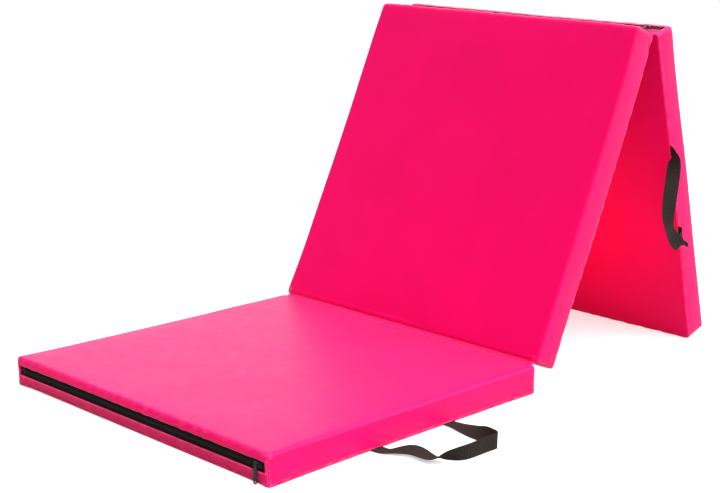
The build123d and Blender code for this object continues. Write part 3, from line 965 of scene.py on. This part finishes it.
def hinges():
    """The strips over both hinge lines, as (distance from the line, height off the face) in millimetres."""
    up_b = (math.cos(FRONT_LEAN), math.sin(FRONT_LEAN))
    out_b = (-math.sin(FRONT_LEAN), math.cos(FRONT_LEAN))
    flat_legs = ((17.5, -3.3), (14, -2.15), (11, -1.85), (8.5, -1.85), (6, -2.3), (3.8, -2.9), (1.6, -3.5))
    lean_legs = ((17.5, -3.9), (14, -2.65), (11, -2.25), (8.5, -2.15), (6, -2.4), (3.8, -2.9), (1.6, -3.5))
    front = [(-along, off) for along, off in flat_legs]
    for along, off in reversed(lean_legs):
        front.append((up_b[0] * along + out_b[0] * off, up_b[1] * along + out_b[1] * off))
    hinge_strip(
        "hinge_strip_front", "hinge_cloth_front", HINGE_FRONT, front,
        HALF - 0.007,
    )
    down_b = (-up_b[0], -up_b[1])
    down_c = (math.cos(REAR_LEAN), -math.sin(REAR_LEAN))
    up_c = (math.sin(REAR_LEAN), math.cos(REAR_LEAN))
    rear = []
    for along, off in ((19, -2.0), (16, -0.9), (12, -0.7), (8, -0.5), (4, -0.3), (1.4, -0.1)):
        rear.append((down_b[0] * along + out_b[0] * off, down_b[1] * along + out_b[1] * off))
    for along, off in ((1.4, 0.1), (4, 0.3), (8, 0.5), (12, 0.7), (16, 0.9), (19, 2.0)):
        rear.append((down_c[0] * along + up_c[0] * off, down_c[1] * along + up_c[1] * off))
    hinge_strip(
        "hinge_strip_rear", "hinge_cloth_rear", HINGE_REAR, rear,
        HALF - 0.009,
    )


# ---- assemble ----------------------------------------------------------------------------------
swell_points, swell_field = swelling()
for key in "abc":
    panel = cover(key, swell_points, swell_field, VINYL)
    foam(key, FOAM)
    zip_stitches(key, panel)
    for side in (1, -1):
        zip_tape(key, side)
        zip_coil(key, side)
strap("a", BASE_LOOP)
strap("c", REAR_LOOP)
sewn_ends("a")
sewn_ends("c")
hinges()

for node in frame["nodes"].values():
    if node.hide_render:
        continue
    # what is left in view of the CAD part: the zips' stops, sliders and pulls
    node.data.materials.clear()
    node.data.materials.append(METAL)
    edge = node.modifiers.new("worn_edges", "BEVEL")
    edge.width, edge.segments, edge.limit_method = 0.00018, 2, "ANGLE"

# ---- floor, light and camera -------------------------------------------------------------------
floor_mat, nodes, links, shader = material("pale_floor", (0.9, 0.9, 0.9), 0.9, 0.0)
where = nodes.new("ShaderNodeTexCoord").outputs["Object"]
links.new(
    colour_mix(nodes, links, noise(nodes, links, where, 3.0), (0.45, 0.45, 0.45), (0.44, 0.44, 0.44)),
    shader.inputs["Base Color"],
)
# The floor glows for the camera's own rays only, so that it is as white as the picture's cut-out
# background but throws no extra light on the mat.
FLOOR_GLOW, FLOOR_HALF = 0.52, 6.0
shader.inputs["Emission Color"].default_value = (1, 1, 1, 1)
eye = nodes.new("ShaderNodeLightPath")
glow = math_node(nodes, links, "MULTIPLY", eye.outputs["Is Camera Ray"], FLOOR_GLOW)
links.new(glow, shader.inputs["Emission Strength"])
floor = new_object(
    "studio_floor",
    [(-FLOOR_HALF, -FLOOR_HALF, 0), (FLOOR_HALF, -FLOOR_HALF, 0), (FLOOR_HALF, FLOOR_HALF, 0),
     (-FLOOR_HALF, FLOOR_HALF, 0)],
    [(0, 1, 2, 3)], floor_mat, smooth=False,
)
floor.location.z = -0.0002

# The sky lights the mat mostly from above and behind, and is plain white to the camera.
world = bpy.data.worlds.new("studio")
scene.world = world
world.use_nodes = True
nodes, links = world.node_tree.nodes, world.node_tree.links
nodes.clear()
background = nodes.new("ShaderNodeBackground")
background.inputs["Color"].default_value = (1, 1, 1, 1)
white = nodes.new("ShaderNodeBackground")
white.inputs["Color"].default_value = (1, 1, 1, 1)
white.inputs["Strength"].default_value = 1.0
seen = nodes.new("ShaderNodeLightPath")
mix = nodes.new("ShaderNodeMixShader")
output = nodes.new("ShaderNodeOutputWorld")
heading = nodes.new("ShaderNodeVectorMath")
heading.operation = "DOT_PRODUCT"
heading.inputs[1].default_value = (0.0, 0.76, 0.65)
links.new(nodes.new("ShaderNodeTexCoord").outputs["Generated"], heading.inputs[0])
fade = nodes.new("ShaderNodeMapRange")
fade.interpolation_type = "SMOOTHSTEP"
for socket, value in (("From Min", -0.24), ("From Max", 0.55), ("To Min", 0.03), ("To Max", 1.6)):
    fade.inputs[socket].default_value = value
links.new(heading.outputs["Value"], fade.inputs["Value"])
links.new(fade.outputs["Result"], background.inputs["Strength"])
links.new(seen.outputs["Is Camera Ray"], mix.inputs["Fac"])
links.new(background.outputs["Background"], mix.inputs[1])
links.new(white.outputs["Background"], mix.inputs[2])
links.new(mix.outputs["Shader"], output.inputs["Surface"])


def sun(name, direction, strength, spread):
    data = bpy.data.lights.new(name, "SUN")
    data.energy = strength
    data.angle = math.radians(spread)
    obj = bpy.data.objects.new(name, data)
    scene.collection.objects.link(obj)
    obj.rotation_euler = Vector(direction).to_track_quat("Z", "Y").to_euler()


sun("key", (0.60, 0.0, 1.0), 6.2, 90)

# A pink-tinted lamp, hidden from the camera, that stands in for light thrown back and forth between the
# two propped panels. It stays where it is when the panels move.
fill = bpy.data.lights.new("wedge_fill", "AREA")
fill.shape = "RECTANGLE"
fill.size, fill.size_y = 0.55, 0.10
fill.energy = 1.15
fill.color = (1.0, 0.03, 0.17)
wedge = bpy.data.objects.new("wedge_fill", fill)
scene.collection.objects.link(wedge)
wedge.location = (0.02, 0.50, 0.09)
wedge.rotation_euler = Vector((0, -0.20, -0.20)).to_track_quat("Z", "Y").to_euler()
wedge.visible_camera = False

scene.view_settings.view_transform = "Standard"
scene.view_settings.look = "None"
scene.view_settings.exposure = 0
scene.view_settings.gamma = 1

# Viewpoint solved from the panels' corners: azimuth, elevation, roll, place and focal length.
VIEW_AZ, VIEW_EL, VIEW_ROLL = (math.radians(v) for v in (43.651, 11.455, 1.334))
VIEW_FROM = Vector((1.775242, -1.671901, 0.819241))
FOCAL_PX, CENTRE_PX = 1525.144, (360.0, 200.0)
IMAGE_PX = (720, 493)
back = Vector((
    math.sin(VIEW_AZ) * math.cos(VIEW_EL), -math.cos(VIEW_AZ) * math.cos(VIEW_EL), math.sin(VIEW_EL),
))
right = (-back).cross(Vector((0, 0, 1))).normalized()
above = right.cross(-back)
right, above = (
    right * math.cos(VIEW_ROLL) + above * math.sin(VIEW_ROLL),
    above * math.cos(VIEW_ROLL) - right * math.sin(VIEW_ROLL),
)
lens = bpy.data.cameras.new("camera")
lens.sensor_fit = "HORIZONTAL"
lens.sensor_width = 36
lens.lens = FOCAL_PX / IMAGE_PX[0] * 36
lens.shift_x = (IMAGE_PX[0] / 2 - CENTRE_PX[0]) / IMAGE_PX[0]
lens.shift_y = (CENTRE_PX[1] - IMAGE_PX[1] / 2) / IMAGE_PX[0]
lens.clip_start, lens.clip_end = 0.05, 50
camera = bpy.data.objects.new("camera", lens)
scene.collection.objects.link(camera)
camera.matrix_world = Matrix((
    (right.x, above.x, back.x, VIEW_FROM.x),
    (right.y, above.y, back.y, VIEW_FROM.y),
    (right.z, above.z, back.z, VIEW_FROM.z),
    (0, 0, 0, 1),
))
scene.camera = camera
